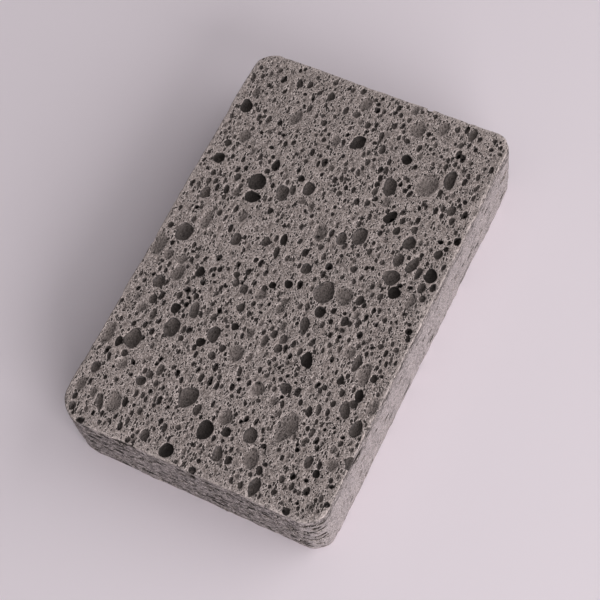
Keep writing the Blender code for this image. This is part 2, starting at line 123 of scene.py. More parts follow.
# Small cells in the top face, in the same order
SMALL_HOLES = [
    (-0.3, 51.3, 1.2, 1.2, 0), (-3.3, 48.2, 0.9, 1.0, 0), (-8.6, 36.6, 1.0, 1.4, 0),
    (-8.1, 38.5, 0.8, 0.9, 0), (-28.8, 45.7, 0.9, 1.2, 0), (-24.1, 45.5, 0.9, 1.2, 0),
    (-19.0, 46.8, 0.9, 1.0, 0), (-24.1, 32.4, 0.9, 0.9, 0), (-19.8, 29.5, 1.2, 1.0, 0),
    (-5.5, 30.8, 1.4, 2.2, 0), (4.9, 52.3, 1.1, 1.8, 0), (25.6, 45.0, 1.2, 2.2, 5),
    (24.4, 34.0, 1.0, 2.2, 5), (9.2, 30.2, 1.4, 1.5, 0), (14.5, 32.4, 1.1, 1.2, 0),
    (32.4, 30.8, 1.2, 2.3, 0), (-8.8, 24.3, 1.8, 1.7, 0), (-23.0, 21.7, 1.0, 1.3, 0),
    (-28.3, 15.4, 1.1, 1.6, 0), (-11.8, 13.2, 1.3, 1.8, 0), (-19.9, 10.3, 1.1, 2.2, 0),
    (-29.2, 7.0, 1.0, 1.0, 0), (15.6, 26.2, 0.9, 0.9, 0), (30.0, 21.8, 1.4, 0.9, 0),
    (33.7, 23.5, 1.5, 2.2, 0), (24.8, 15.0, 0.9, 1.3, 0), (33.4, 9.9, 1.3, 2.2, 0),
    (26.0, 7.4, 1.3, 1.1, 0), (28.5, 7.8, 1.3, 1.0, 0), (8.2, 5.2, 1.6, 1.8, 0),
    (-24.8, -2.7, 0.9, 1.6, 0), (-24.4, -4.4, 0.7, 0.8, 0), (-17.5, -3.3, 1.1, 1.7, 0),
    (-12.3, -3.0, 1.0, 1.3, 10), (-16.6, -8.1, 0.7, 1.2, 0), (-15.5, -9.6, 0.9, 0.7, 0),
    (-9.2, -7.0, 0.7, 1.1, 0), (-12.6, -9.4, 0.7, 1.3, 30), (-18.0, -10.8, 1.3, 1.2, 0),
    (-28.0, -11.6, 0.9, 1.4, 20), (-30.3, -13.6, 0.7, 1.1, 0), (-20.5, -14.1, 1.4, 1.3, 0),
    (-17.7, -13.2, 0.7, 0.7, 0), (-19.3, -15.8, 1.1, 0.7, 0), (-18.5, -16.5, 0.7, 0.8, 0),
    (-18.9, -17.7, 1.1, 1.3, 0), (-12.9, -14.1, 0.7, 0.9, 0), (-25.6, -17.9, 1.2, 2.2, 5),
    (-10.8, -15.8, 1.0, 1.5, 10), (-4.1, -11.0, 0.9, 1.6, 0), (-0.6, -9.6, 0.7, 1.0, 0),
    (-1.5, -12.3, 1.0, 0.7, 0), (-1.6, -14.4, 0.9, 1.0, 0), (-29.0, -24.7, 0.8, 0.8, 0),
    (-28.3, -27.2, 1.1, 1.4, 0), (-25.6, -26.4, 1.0, 1.8, 0), (-21.0, -24.3, 0.7, 0.9, 0),
    (-4.3, -25.3, 0.7, 1.2, 0), (3.9, -1.9, 1.3, 2.2, 15), (14.4, -5.0, 1.2, 1.8, 0),
    (17.1, -4.5, 1.0, 1.0, 0), (19.4, -6.5, 0.8, 1.5, 10), (18.5, -10.4, 1.0, 0.9, 0),
    (22.2, -3.4, 0.9, 1.8, 10), (25.2, -4.2, 0.8, 1.0, 0), (32.3, -1.0, 0.9, 0.9, 0),
    (30.4, -10.0, 0.8, 1.8, 0), (11.6, -13.0, 0.7, 1.2, 0), (4.4, -10.6, 0.7, 1.0, 0),
    (1.6, -13.4, 0.8, 0.8, 0), (32.0, -15.6, 0.9, 0.8, 0), (19.5, -16.4, 1.0, 1.5, 20),
    (10.1, -19.6, 1.0, 1.6, 0), (8.2, -18.3, 0.9, 1.8, 10), (9.2, -23.3, 0.8, 1.2, 0),
    (11.8, -24.3, 0.7, 1.0, -30), (14.3, -25.1, 0.6, 0.6, 0), (19.3, -23.6, 1.0, 1.7, -15),
    (20.4, -24.6, 0.9, 1.4, 20), (23.7, -20.3, 1.5, 2.2, 0), (-4.6, 27.4, 0.9, 1.3, 0),
    (-24.4, -29.6, 0.8, 1.2, 0), (-30.9, -35.8, 0.9, 2.1, 5), (-29.7, -37.0, 0.9, 1.9, 20),
    (-23.5, -36.1, 0.9, 1.7, 45), (-27.5, -39.0, 0.7, 0.7, 0), (-22.4, -39.1, 0.8, 1.0, 0),
    (-17.8, -32.8, 0.9, 1.5, 0), (-18.2, -34.3, 0.8, 1.0, 0), (-16.2, -41.0, 0.8, 1.2, 0),
    (-12.4, -34.3, 0.9, 1.8, 15), (-8.3, -31.4, 0.8, 1.4, 0), (-4.3, -32.9, 1.0, 2.4, 5),
    (-10.4, -42.7, 0.8, 0.8, 0), (-13.8, -46.6, 0.7, 0.7, 0), (-17.6, -47.5, 0.8, 1.2, 0),
    (-10.8, -48.9, 0.7, 1.2, 25), (-15.4, -51.1, 0.8, 0.9, 0), (-21.4, -51.4, 0.8, 1.0, 0),
    (-26.0, -51.3, 0.7, 1.4, 0), (-24.0, -50.5, 0.8, 1.5, 15), (-30.5, -53.2, 0.7, 1.1, 0),
    (7.9, -37.8, 1.0, 1.9, 0), (5.1, -37.9, 0.9, 1.1, 0), (7.0, -39.0, 0.9, 1.2, 0),
    (10.3, -37.5, 0.8, 1.9, 0), (14.6, -42.2, 1.3, 1.3, 0), (16.9, -46.0, 1.2, 0.9, 0),
    (2.2, -54.1, 1.8, 1.5, 0), (22.1, -39.8, 1.0, 1.0, 0), (21.5, -38.6, 0.7, 0.8, 0),
    (25.1, -36.0, 0.9, 1.8, 0), (26.1, -37.6, 0.8, 1.5, 0), (24.4, -28.8, 1.0, 1.8, 15),
    (27.2, -29.1, 0.9, 0.9, 0), (27.5, -31.5, 0.8, 0.8, 0), (25.7, -32.8, 0.8, 0.9, 0),
    (30.3, -32.8, 1.0, 1.0, 0), (20.6, -33.4, 0.7, 0.7, 0), (12.9, -29.6, 0.8, 0.9, 20),
    (13.1, -35.0, 0.7, 0.7, 0), (27.2, -45.5, 1.0, 0.9, 0), (24.0, -45.9, 1.2, 1.4, 0),
    (34.0, -48.7, 1.3, 1.3, 0), (28.4, -47.8, 1.2, 1.9, 0), (27.7, -51.2, 0.9, 0.9, 0),
    (16.4, -51.6, 0.7, 0.7, 0), (33.1, -44.5, 1.0, 1.0, 0), (1.7, -29.8, 0.9, 0.9, 0),
    (6.4, -28.7, 0.7, 0.7, 0), (-16.5, 46.6, 0.8, 1.6, 15), (-18.6, 33.9, 0.9, 0.9, 0),
    (0.2, 49.6, 1.3, 1.6, 0), (-3.7, 40.2, 0.8, 1.2, 0), (4.5, 39.5, 0.8, 1.5, 0),
    (16.7, 32.7, 0.9, 1.2, 0), (2.0, 11.5, 0.7, 0.7, 0), (1.4, 14.1, 0.8, 0.7, 0),
]
SMALL_PITS = [
    (-12.4, 48.7, 1.9, 2.5, 0), (-0.2, 44.7, 1.6, 1.8, 0), (-10.7, 41.0, 1.5, 1.8, 0),
    (-6.7, 35.2, 1.0, 1.2, 0), (-16.0, 43.5, 1.2, 2.6, 0), (-13.2, 53.0, 1.3, 1.8, 0),
    (-5.5, 53.3, 1.3, 1.9, 0), (-29.8, 49.0, 0.9, 1.9, 0), (-31.5, 47.6, 1.0, 1.5, 0),
    (-33.6, 46.3, 1.0, 2.4, 0), (-28.0, 50.9, 1.2, 1.5, 0), (-18.3, 45.2, 0.8, 0.9, 0),
    (-26.7, 32.6, 0.8, 1.3, 0), (-10.0, 29.3, 1.2, 1.4, 0), (-11.0, 37.2, 1.0, 1.1, 0),
    (-9.0, 43.8, 1.0, 1.3, 0), (8.7, 50.0, 1.0, 1.4, 0), (21.0, 52.2, 1.3, 2.0, 0),
    (22.8, 50.6, 0.8, 1.2, 0), (23.6, 48.3, 1.3, 1.6, 0), (25.6, 42.4, 0.8, 1.0, 0),
    (22.7, 41.3, 1.2, 1.8, 0), (21.3, 43.1, 0.8, 0.8, 0), (30.9, 52.6, 1.2, 1.3, 0),
    (33.5, 49.6, 1.2, 0.9, 0), (31.6, 44.5, 1.1, 1.2, 0), (6.2, 39.7, 1.6, 2.6, 0),
    (10.8, 44.3, 1.5, 1.3, 0), (14.5, 43.6, 1.2, 2.2, 0), (8.5, 44.4, 1.0, 1.8, 0),
    (9.1, 41.5, 0.8, 1.2, 0), (1.9, 31.6, 1.0, 1.3, 0), (4.3, 35.0, 1.2, 2.1, 0),
    (3.4, 37.6, 0.9, 1.5, 0), (17.2, 44.4, 0.8, 1.2, 0), (-9.3, 20.5, 1.4, 2.5, 20),
    (-23.7, 18.6, 1.6, 2.2, 0), (-21.9, 16.6, 1.0, 1.8, 0), (-31.8, 14.6, 0.8, 1.3, 0),
    (-30.0, 14.8, 1.3, 2.0, 0), (-8.5, 13.2, 1.0, 1.6, 0), (-24.4, 10.3, 0.8, 1.0, 0),
    (-28.8, 8.7, 0.8, 1.0, 0), (-23.2, 7.8, 1.2, 1.8, 0), (-1.8, 22.6, 0.8, 1.5, 0),
    (-9.0, 5.2, 1.9, 2.7, 0), (19.1, 20.4, 1.5, 2.4, 0), (19.2, 23.4, 1.2, 2.0, 0),
    (22.9, 22.3, 1.6, 1.9, 0), (31.0, 18.5, 1.9, 2.7, 0), (31.2, 23.9, 0.8, 0.9, 0),
    (19.4, 11.3, 1.2, 1.4, 0), (31.0, 8.8, 1.9, 2.7, 0), (32.3, 6.3, 1.5, 1.9, 0),
    (14.0, 7.0, 1.6, 1.7, 0), (9.5, 7.3, 0.9, 1.6, 0), (12.3, 4.0, 1.0, 1.4, 0),
    (4.8, 5.0, 0.9, 1.0, 0), (1.0, 18.7, 1.1, 0.9, 0), (20.0, 4.5, 1.0, 1.9, 0),
    (9.2, 24.6, 1.3, 1.5, 0), (-23.2, -2.9, 0.9, 1.6, 0), (-22.6, -5.1, 1.2, 1.2, 0),
    (-19.0, -1.6, 1.0, 1.0, 0), (-17.8, -7.3, 1.0, 1.6, 0), (-11.4, -5.7, 1.5, 1.7, 0),
    (-3.6, -6.1, 1.4, 1.3, 0), (-20.8, -10.5, 1.0, 1.0, 0), (-21.5, -12.0, 0.8, 1.8, 0),
    (-21.7, -16.1, 1.3, 1.8, 0), (-13.6, -12.1, 1.2, 1.4, 0), (-11.9, -12.1, 0.7, 1.2, 0),
    (-11.3, -17.9, 1.4, 1.9, 0), (-8.5, -17.4, 1.2, 1.5, 0), (-7.2, -18.8, 1.0, 1.0, 0),
    (-6.4, -13.1, 2.0, 2.2, 0), (-27.2, -19.5, 2.0, 2.6, 0), (-16.5, -23.7, 1.2, 2.3, 0),
    (-16.0, -26.0, 1.3, 1.5, 0), (-13.0, -22.2, 0.9, 0.9, 0), (-5.6, -24.3, 1.7, 1.9, 0),
    (6.5, -7.0, 1.2, 1.9, 0), (8.1, -6.5, 1.2, 2.4, 15), (0.3, -6.2, 0.9, 1.9, 0),
    (18.4, -8.7, 1.4, 1.2, 0), (26.6, -2.4, 1.0, 1.4, 0), (28.5, -8.8, 1.4, 1.5, 0),
    (32.3, -8.2, 1.4, 1.4, 0), (23.7, -10.8, 1.2, 1.3, 0), (6.6, -10.5, 0.8, 1.6, 0),
    (11.7, -17.7, 1.3, 2.3, 0), (4.1, -16.1, 1.5, 2.2, 0), (4.6, -21.2, 1.0, 1.0, 0),
    (8.1, -23.0, 0.9, 1.4, 0), (7.3, -26.2, 1.2, 1.4, 0), (21.0, -23.4, 1.3, 1.4, 20),
    (25.4, -23.0, 1.3, 2.0, 0), (24.6, -26.2, 1.2, 1.7, 0), (-26.6, -34.9, 1.5, 1.9, 0),
    (-25.0, -41.6, 1.0, 1.4, 0), (-15.9, -38.7, 1.3, 1.8, 0), (-14.3, -42.0, 0.8, 1.8, 0),
    (-19.0, -42.8, 1.1, 2.3, 10), (-16.0, -46.4, 1.3, 1.7, 0), (-5.8, -46.2, 1.3, 1.5, 0),
    (-27.9, -54.2, 2.0, 1.5, 20), (-15.2, -53.8, 1.3, 1.5, 0), (-6.7, -33.0, 1.3, 2.5, 0),
    (-3.8, -40.5, 1.7, 3.0, 0), (18.1, -41.5, 1.2, 1.2, 0), (14.0, -52.7, 1.2, 2.1, 0),
    (21.7, -51.0, 1.4, 1.7, 0), (22.7, -37.4, 1.2, 2.5, 0), (34.4, -37.8, 2.0, 3.3, 0),
    (22.0, -47.6, 1.3, 2.0, 20), (24.8, -48.2, 1.1, 2.1, 0), (22.2, -29.0, 1.3, 2.9, 15),
    (30.5, -34.3, 1.0, 1.4, 0), (20.0, -37.2, 0.9, 1.9, 10), (33.5, -41.7, 0.8, 1.3, -10),
    (27.0, -48.8, 1.0, 1.3, 0), (24.4, -52.5, 0.9, 1.0, 0), (8.3, -32.7, 1.3, 0.9, 0),
    (2.1, -34.2, 1.0, 1.2, 0), (0.8, -39.0, 1.0, 1.0, 0), (12.4, -49.5, 0.9, 0.9, 0),
    (14.9, -49.5, 1.0, 1.3, 0), (28.7, 11.9, 1.4, 3.6, -5), (29.0, -24.4, 1.8, 2.1, 0),
    (26.3, -54.0, 1.8, 1.8, 0), (-32.9, 0.0, 1.4, 1.8, 0), (18.9, 0.0, 1.9, 2.6, 0),
    (-30.6, 26.4, 1.6, 2.2, 0), (-17.7, 23.0, 1.4, 1.5, 0), (-24.3, 12.2, 1.2, 1.5, 0),
    (-24.9, 8.2, 0.9, 2.0, 0), (-5.2, 3.6, 1.2, 3.8, 12), (-2.8, 12.4, 1.3, 1.7, 0),
    (4.0, 9.2, 1.4, 1.6, 0), (1.6, 24.3, 1.2, 1.8, 0), (9.5, 28.3, 1.4, 2.2, 0),
    (30.1, 28.1, 1.5, 2.0, 0), (22.9, 2.8, 1.3, 1.9, 0), (-18.9, 49.8, 1.4, 2.1, 0),
    (-15.6, 48.8, 0.9, 2.4, -30), (-0.5, 32.4, 1.1, 1.3, 0), (32.0, 38.6, 1.0, 2.6, -15),
    (31.1, 41.6, 1.1, 2.2, 0),
]
SMALL_DISHES = [
    (-30.8, 42.5, 2.1, 3.1, 0), (-5.7, 37.4, 2.3, 3.3, 0), (9.0, 53.3, 2.0, 2.6, 0),
    (27.1, 41.8, 1.6, 2.0, 0), (34.6, 32.5, 1.7, 2.5, 0), (-3.2, 18.3, 1.8, 3.0, 15),
    (-12.9, 23.2, 1.4, 2.4, 0), (-13.3, -16.9, 1.5, 2.5, 0), (-2.5, -10.8, 1.5, 1.8, 0),
    (2.5, -7.4, 1.8, 2.0, 0), (2.4, -9.6, 2.2, 2.6, 0), (5.0, -13.4, 1.7, 2.6, 0),
    (-28.6, -46.7, 1.7, 2.8, 10), (11.7, -31.1, 2.5, 2.5, 0), (13.8, -33.5, 1.7, 1.9, 0),
    (-1.3, -18.0, 2.1, 2.6, 0), (-31.2, -20.6, 1.8, 2.6, 0), (-22.2, 14.5, 1.9, 2.6, 0),
    (-23.7, 26.6, 1.4, 2.8, 0), (-6.0, 18.9, 2.1, 2.2, 0), (25.7, 19.6, 1.3, 1.9, 0),
    (13.2, 26.6, 2.4, 3.0, 0), (-2.3, 44.8, 1.6, 1.9, 0), (-3.3, 30.2, 1.7, 1.9, 0),
    (15.5, 41.5, 1.5, 2.6, 0), (29.5, -36.3, 1.8, 2.4, 0), (30.5, -50.8, 1.9, 2.6, 0),
    (7.1, -49.9, 1.4, 1.7, 0),
]


class Kind(NamedTuple):
    """What the cells of one kind in the top face have in common."""
    cells: list
    depth: float            # as a share of the mouth's width
    deepest: float          # and no deeper than this
    sink: float             # how far the bubble's middle lies under the face, as a share of its half height
    # The painted shade inside the cell, standing for the shade deep in it
    cell_shade: float         # how dark the cell is inside
    opens_behind: bool      # whether it opens into bubbles behind it


KINDS = (
    Kind(HOLES, 0.62, 1.8, 0.35, 0.9, True),
    Kind(SMALL_HOLES, 0.75, 1.4, 0.4, 0.75, True),
    Kind(PITS, 0.42, 1.2, 0.2, 0.6, False),
    Kind(SMALL_PITS, 0.38, 0.9, 0.25, 0.82, False),
    Kind(DISHES, 0.21, 0.7, -0.1, 0.36, False),
    Kind(SMALL_DISHES, 0.22, 0.45, 0.0, 0.5, False),
)
# The painted shade of a cell varies by chance this much
CELL_SHADE_SPREAD = 0.1
KIND_FACETS = 6

# The bubbles that a deep cell opens into. Their size and depth are shares of the width of its mouth, and they
# lie up to this share of the mouth aside. Their shape goes by their own size, along X, Y and Z.
BEHIND_COUNT = 3
BEHIND_SIZE = (0.35, 0.6)
BEHIND_ASIDE = 0.35
BEHIND_DEPTH = (1.0, 1.7)
BEHIND_SHAPE = (1.0, 1.2, 0.8)
# Painted shade in the bubbles behind a deep cell
BEHIND_SHADE = 0.6
BEHIND_FACETS = 4

# Chance cells: the width of their mouths, and how many tries each width gets on each face. A mouth is longer
# than it is wide by the stretch, and leans to the left by chance in degrees, as a mean and a spread. Between
# cells, and between them and the rim, a wall is left.
TOP_TRIES = ((1.2, 160), (1.0, 300), (0.85, 650), (0.7, 2000))
UNDERSIDE_TRIES = ((3.0, 30), (2.2, 80), (1.5, 300), (1.1, 1200), (0.8, 5000))
SIZE_SPREAD = (0.88, 1.12)
STRETCH = (1.3, 2.2)
LEAN = (8, 8)
WALL = 0.2
RIM_WALL = 0.35
WIDE_MOUTH = 1.0
WIDE_FACETS = 5


class Chance(NamedTuple):
    """What one sort of chance cells has in common: ranges for two of a kind's terms, and its sink."""
    depth: tuple
    # The range of painted shade inside the cell
    cell_shade: tuple
    sink: float


DEEP = Chance((0.7, 1.2), (0.3, 0.7), 0.4)
SHALLOW = Chance((0.25, 0.5), (0.05, 0.3), -0.2)
DEEP_SHARE = 0.5

# Slots in the sides: their heights, and how many tries each gets. The two long sides keep only a small share
# of them. A slot is on a long side where it faces along X by more than this.
SIDE_TRIES = ((1.1, 130), (0.8, 300), (0.55, 900))
SLOT_STRETCH = (1.8, 3.8)
SLOT_SINK = 0.5
SLOT_WALL = 0.35
SLOT_MARGIN = 0.5
# The range of painted shade inside a slot
SLOT_SHADE = (0.6, 1.0)
LONG_SIDE_SHARE = 0.15
LONG_SIDE_FACING = 0.9

# A bubble's outline swells and narrows this many times round it, by this share of its radius. The planes that
# flatten it lie this far out, as a share of its radius, and tilt little. Its walls are slightly rough, and
# painted shade reaches this many steps of the grid behind them.
LOBES = ((2, 0.04), (3, 0.06), (4, 0.03))
FACET_REACH = (0.86, 1.1)
FACET_TILT = 0.5
UNEVENNESS = 0.04
UNEVEN_WAVELENGTHS = (0.9, 1.1, 0.9)
SHADE_STEPS = 1.5
CARVE_MARGIN = 2 * STEP


def axis_points(low, high):
    count = int(round((high - low + 2 * GRID_MARGIN) / STEP)) + 1
    return (low - GRID_MARGIN + STEP * np.arange(count)).astype(np.float32)


GRID = [axis_points(low, high) for low, high in zip(LOW, HIGH)]
SHAPE = tuple(len(points) for points in GRID)


def spline_weights(points, wave):
    """How much each knot of a chance curve with this wavelength counts at each grid point."""
    knots = (points - points[0]) / wave + 1.5
    weights = np.zeros((len(points), int(knots[-1]) + 4), np.float32)
    first = np.floor(knots).astype(int) - 1
    part = knots - np.floor(knots)
    rows = np.arange(len(points))
    weights[rows, first] = (1 - part) ** 3 / 6
    weights[rows, first + 1] = (3 * part ** 3 - 6 * part ** 2 + 4) / 6
    weights[rows, first + 2] = (-3 * part ** 3 + 3 * part ** 2 + 3 * part + 1) / 6
    weights[rows, first + 3] = part ** 3 / 6
    return weights


def smooth_noise(waves):
    """A smooth chance field over the grid, of about unit size, with one wavelength along each axis."""
    weights = [spline_weights(points, wave) for points, wave in zip(GRID, waves)]
    knots = rng.standard_normal([weight.shape[1] for weight in weights]).astype(np.float32)
    for weight in weights:
        knots = np.tensordot(knots, weight, axes=(0, 1))
    return knots / knots.std()


def block_distance(x, y, z, growth=0.0):
    """Distance to the surface of the block without its cells, below zero inside it."""
    first, second, third, fourth = CORNER_RADII
    radius = np.where(x > 0, np.where(y > 0, first, fourth), np.where(y > 0, second, third))
    over_x = np.abs(x) - WIDTH / 2 + radius
    over_y = np.abs(y) - LENGTH / 2 + radius
    outside = np.hypot(np.maximum(over_x, 0), np.maximum(over_y, 0))
    plan = outside + np.minimum(np.maximum(over_x, over_y), 0) - radius - growth + RIM_RADIUS
    rise = np.abs(z - THICKNESS / 2) - THICKNESS / 2 + RIM_RADIUS
    corner = np.hypot(np.maximum(plan, 0), np.maximum(rise, 0))
    return corner + np.minimum(np.maximum(plan, rise), 0) - RIM_RADIUS


def block_field():
    """The block on the grid, with its uneven sides."""
    x, y, z = np.meshgrid(*GRID, indexing="ij", sparse=True)
    sides = SIDE_WAVE * sum(smooth_noise(waves) for waves in SIDE_WAVELENGTHS)
    return block_distance(x, y, z, sides).astype(np.float32)


class Foam:
    """The solid on the grid: the distance from its surface, below zero inside, and the painted shade of its
    cells.
    """

    def __init__(self):
        self.rough = smooth_noise(UNEVEN_WAVELENGTHS)
        self.field = block_field()
        self.cell_shade = np.zeros(SHAPE, np.float32)


def carve(foam, centre, radii, lean, facets, painted_shade):
    """Takes one bubble out of the solid: an ellipsoid that chance planes have flattened in places."""
    reach = max(radii) + CARVE_MARGIN
    spans = [slice(*np.searchsorted(points, (middle - reach, middle + reach)))
             for points, middle in zip(GRID, centre)]
    if any(span.start == span.stop for span in spans):
        return
    x, y, z = (points[span] - middle for points, span, middle in zip(GRID, spans, centre))
    x, y, z = x[:, None, None], y[None, :, None], z[None, None, :]
    turn = math.radians(lean)
    across = (x * math.cos(turn) + y * math.sin(turn)) / radii[0]
    along = (y * math.cos(turn) - x * math.sin(turn)) / radii[1]
    up = z / radii[2]
    swell = 1.0
    if facets:
        angle = np.arctan2(along, across)
        swell = 1 + sum(size * np.cos(order * angle + rng.uniform(0, math.tau)) for order, size in LOBES)
    unit = np.sqrt((across ** 2 + along ** 2) / swell ** 2 + up ** 2)
    steep = np.sqrt((across / radii[0]) ** 2 + (along / radii[1]) ** 2 + (up / radii[2]) ** 2)
    distance = unit * (unit - 1) / np.maximum(steep, 1e-3)
    for facet in range(facets):
        normal = rng.standard_normal(3) * (1, 1, FACET_TILT)
        normal /= np.linalg.norm(normal)
        slope = np.linalg.norm(normal / radii)
        plane = normal[0] * across + normal[1] * along + normal[2] * up - rng.uniform(*FACET_REACH)
        distance = np.maximum(distance, plane / slope)
    distance = distance + UNEVENNESS * foam.rough[tuple(spans)]
    part = foam.field[tuple(spans)]
    np.maximum(part, -distance, out=part)
    # Painted shade on the bubble's walls and a little behind them, for the shade inside the cell
    walls = foam.cell_shade[tuple(spans)]
    np.maximum(walls, np.where(distance < SHADE_STEPS * STEP, painted_shade, 0), out=walls)


def open_cell(foam, cell, level, inward, depth, sink, facets, painted_shade):
    """Cuts a bubble of this depth whose mouth on a flat face has the cell's size."""
    x, y, across, along, lean = cell
    half = depth / (1 + sink)
    widen = 0.5 / math.sqrt(1 - sink ** 2)
    centre = (x, y, level + inward * sink * half)
    carve(foam, centre, (across * widen, along * widen, half), lean, facets, painted_shade)


def open_behind(foam, cell, level, inward):
    """Cuts the bubbles that a deep cell opens into."""
    x, y, across, along, lean = cell
    for bubble in range(BEHIND_COUNT):
        size = across * rng.uniform(*BEHIND_SIZE)
        aside = rng.uniform(-BEHIND_ASIDE, BEHIND_ASIDE, 2) * (across, along)
        deep = across * rng.uniform(*BEHIND_DEPTH)
        centre = (x + aside[0], y + aside[1], level + inward * deep)
        radii = tuple(size * share for share in BEHIND_SHAPE)
        carve(foam, centre, radii, lean, BEHIND_FACETS, BEHIND_SHADE)


def blank_sheet(width, height):
    """A sheet on which the mouths of a face are marked, so that no two overlap."""
    return np.zeros((int(width / SHEET_STEP) + 1, int(height / SHEET_STEP) + 1), bool)


def claim(sheet, u, v, across, along, lean, wall, always=False):
    """Marks a mouth on the sheet, if it and its wall are clear of the ones before."""
    reach = max(across, along) / 2 + wall
    first = [max(int((place - reach) / SHEET_STEP), 0) for place in (u, v)]
    last = [int((place + reach) / SHEET_STEP) + 2 for place in (u, v)]
    window = sheet[first[0]:last[0], first[1]:last[1]]
    to_u = (np.arange(window.shape[0]) + first[0])[:, None] * SHEET_STEP - u
    to_v = (np.arange(window.shape[1]) + first[1])[None, :] * SHEET_STEP - v
    turn = math.radians(lean)
    to_side = np.abs(to_u * math.cos(turn) + to_v * math.sin(turn))
    to_end = np.abs(to_v * math.cos(turn) - to_u * math.sin(turn))
    guard = (to_side / (across / 2 + wall)) ** 2 + (to_end / (along / 2 + wall)) ** 2 < 1
    if not always and (window & guard).any():
        return False
    window |= (to_side / (across / 2)) ** 2 + (to_end / (along / 2)) ** 2 < 1
    return True


def open_face(foam, sheet, level, inward, tries):
    """Fills what is free of a flat face with small cells, the larger ones first."""
    for mouth, count in tries:
        facets = WIDE_FACETS if mouth > WIDE_MOUTH else 0
        for cell in range(count):
            x, y = rng.uniform(-WIDTH / 2, WIDTH / 2), rng.uniform(-LENGTH / 2, LENGTH / 2)
            across = mouth * rng.uniform(*SIZE_SPREAD)
            along = across * rng.uniform(*STRETCH)
            lean = rng.normal(*LEAN)
            kind = DEEP if rng.random() < DEEP_SHARE else SHALLOW
            to_rim = -block_distance(x, y, THICKNESS / 2)
            if to_rim < along / 2 + RIM_WALL:
                continue
            if not claim(sheet, x + WIDTH / 2, y + LENGTH / 2, across, along, lean, WALL):
                continue
            depth = across * rng.uniform(*kind.depth)
            painted_shade = rng.uniform(*kind.cell_shade)
            open_cell(foam, (x, y, across, along, lean), level, inward, depth, kind.sink, facets, painted_shade)


def open_top(foam):
    """Cells that lie where the photograph shows them, and small ones between them."""
    sheet = blank_sheet(WIDTH, LENGTH)
    for kind in KINDS:
        for cell in kind.cells:
            x, y, across, along, lean = cell
            claim(sheet, x + WIDTH / 2, y + LENGTH / 2, across, along, lean, 0, always=True)
            painted_shade = kind.cell_shade + rng.uniform(-CELL_SHADE_SPREAD, CELL_SHADE_SPREAD)
            depth = min(kind.depth * across, kind.deepest)
            open_cell(foam, cell, THICKNESS, -1, depth, kind.sink, KIND_FACETS, painted_shade)
            if kind.opens_behind:
                open_behind(foam, cell, THICKNESS, -1)
    open_face(foam, sheet, THICKNESS, -1, TOP_TRIES)


def open_sides(foam):
    """Thin slots that the four sides cut."""
    around = 2 * (WIDTH + LENGTH) - (2 - math.pi / 2) * sum(CORNER_RADII)
    sheet = blank_sheet(around, THICKNESS)
    widen = 0.5 / math.sqrt(1 - SLOT_SINK ** 2)
    for height, count in SIDE_TRIES:
        for slot in range(count):
            at, z = rng.uniform(0, around), rng.uniform(SLOT_MARGIN, THICKNESS - SLOT_MARGIN)
            high = height * rng.uniform(*SIZE_SPREAD)
            long = high * rng.uniform(*SLOT_STRETCH)
            x, y, outward = walk_outline(at)
            if abs(math.cos(outward)) > LONG_SIDE_FACING and rng.random() > LONG_SIDE_SHARE:
                continue
            if claim(sheet, at, z, long, high, 0, SLOT_WALL):
                inward = SLOT_SINK * long * widen
                centre = (x - inward * math.cos(outward), y - inward * math.sin(outward), z)
                radii = (long * widen, long * widen, high * widen)
                carve(foam, centre, radii, 0, 0, rng.uniform(*SLOT_SHADE))


def walk_outline(at):
    """The point this far round the block's outline, and the direction that faces outward there."""
    for side, radius in enumerate(CORNER_RADII):
        reach, half_run = (WIDTH / 2, LENGTH / 2) if side % 2 == 0 else (LENGTH / 2, WIDTH / 2)
        run = 2 * half_run - CORNER_RADII[side - 1] - radius
        if at < run + radius * math.pi / 2 or side == 3:
            break
        at -= run + radius * math.pi / 2
    angle = max(at - run, 0) / radius
    x = reach - radius + radius * math.cos(angle)
    y = min(at, run) - half_run + CORNER_RADII[side - 1] + radius * math.sin(angle)
    turn = math.radians(90) * side
    return (x * math.cos(turn) - y * math.sin(turn), x * math.sin(turn) + y * math.cos(turn), turn + angle)


def blur(values, weights):
    """Each grid point averaged with its neighbours along each axis."""
    middle = len(weights) // 2
    for axis in range(3):
        values = sum(weight * np.roll(values, place - middle, axis) for place, weight in enumerate(weights))
    return values


def surface_net(field):
    """The surface where the field is zero, as points in millimetres and four-cornered faces."""
    solid = field < 0
    points, number = net_points(field, solid)
    faces = np.concatenate([net_faces(solid, number, axis) for axis in range(3)])
    return points, faces


def net_points(field, solid):
    """One point in each box of the grid that the surface passes through, and the number of each such box."""
    corners = [(i, j, k) for i in (0, 1) for j in (0, 1) for k in (0, 1)]
    counts = np.zeros([size - 1 for size in SHAPE], np.int8)
    for i, j, k in corners:
        counts += solid[i:SHAPE[0] - 1 + i, j:SHAPE[1] - 1 + j, k:SHAPE[2] - 1 + k]
    mixed = (counts > 0) & (counts < 8)
    boxes = np.argwhere(mixed)
    number = np.full(mixed.shape, -1, np.int32)
    number[mixed] = np.arange(len(boxes))
    values = {corner: field[tuple((boxes + corner).T)] for corner in corners}
    total = np.zeros((len(boxes), 3), np.float32)
    crossings = np.zeros(len(boxes), np.float32)
    for start in corners:
        for axis in range(3):
            if start[axis]:
                continue
            end = tuple(1 if other == axis else start[other] for other in range(3))
            first, second = values[start], values[end]
            crossed = (first < 0) != (second < 0)
            share = first[crossed] / (first[crossed] - second[crossed])
            place = np.tile(np.array(start, np.float32), (crossed.sum(), 1))
            place[:, axis] = share
            total[crossed] += place
            crossings[crossed] += 1
    points = (boxes + total / crossings[:, None]) * STEP + [axis[0] for axis in GRID]
    return points.astype(np.float32), number


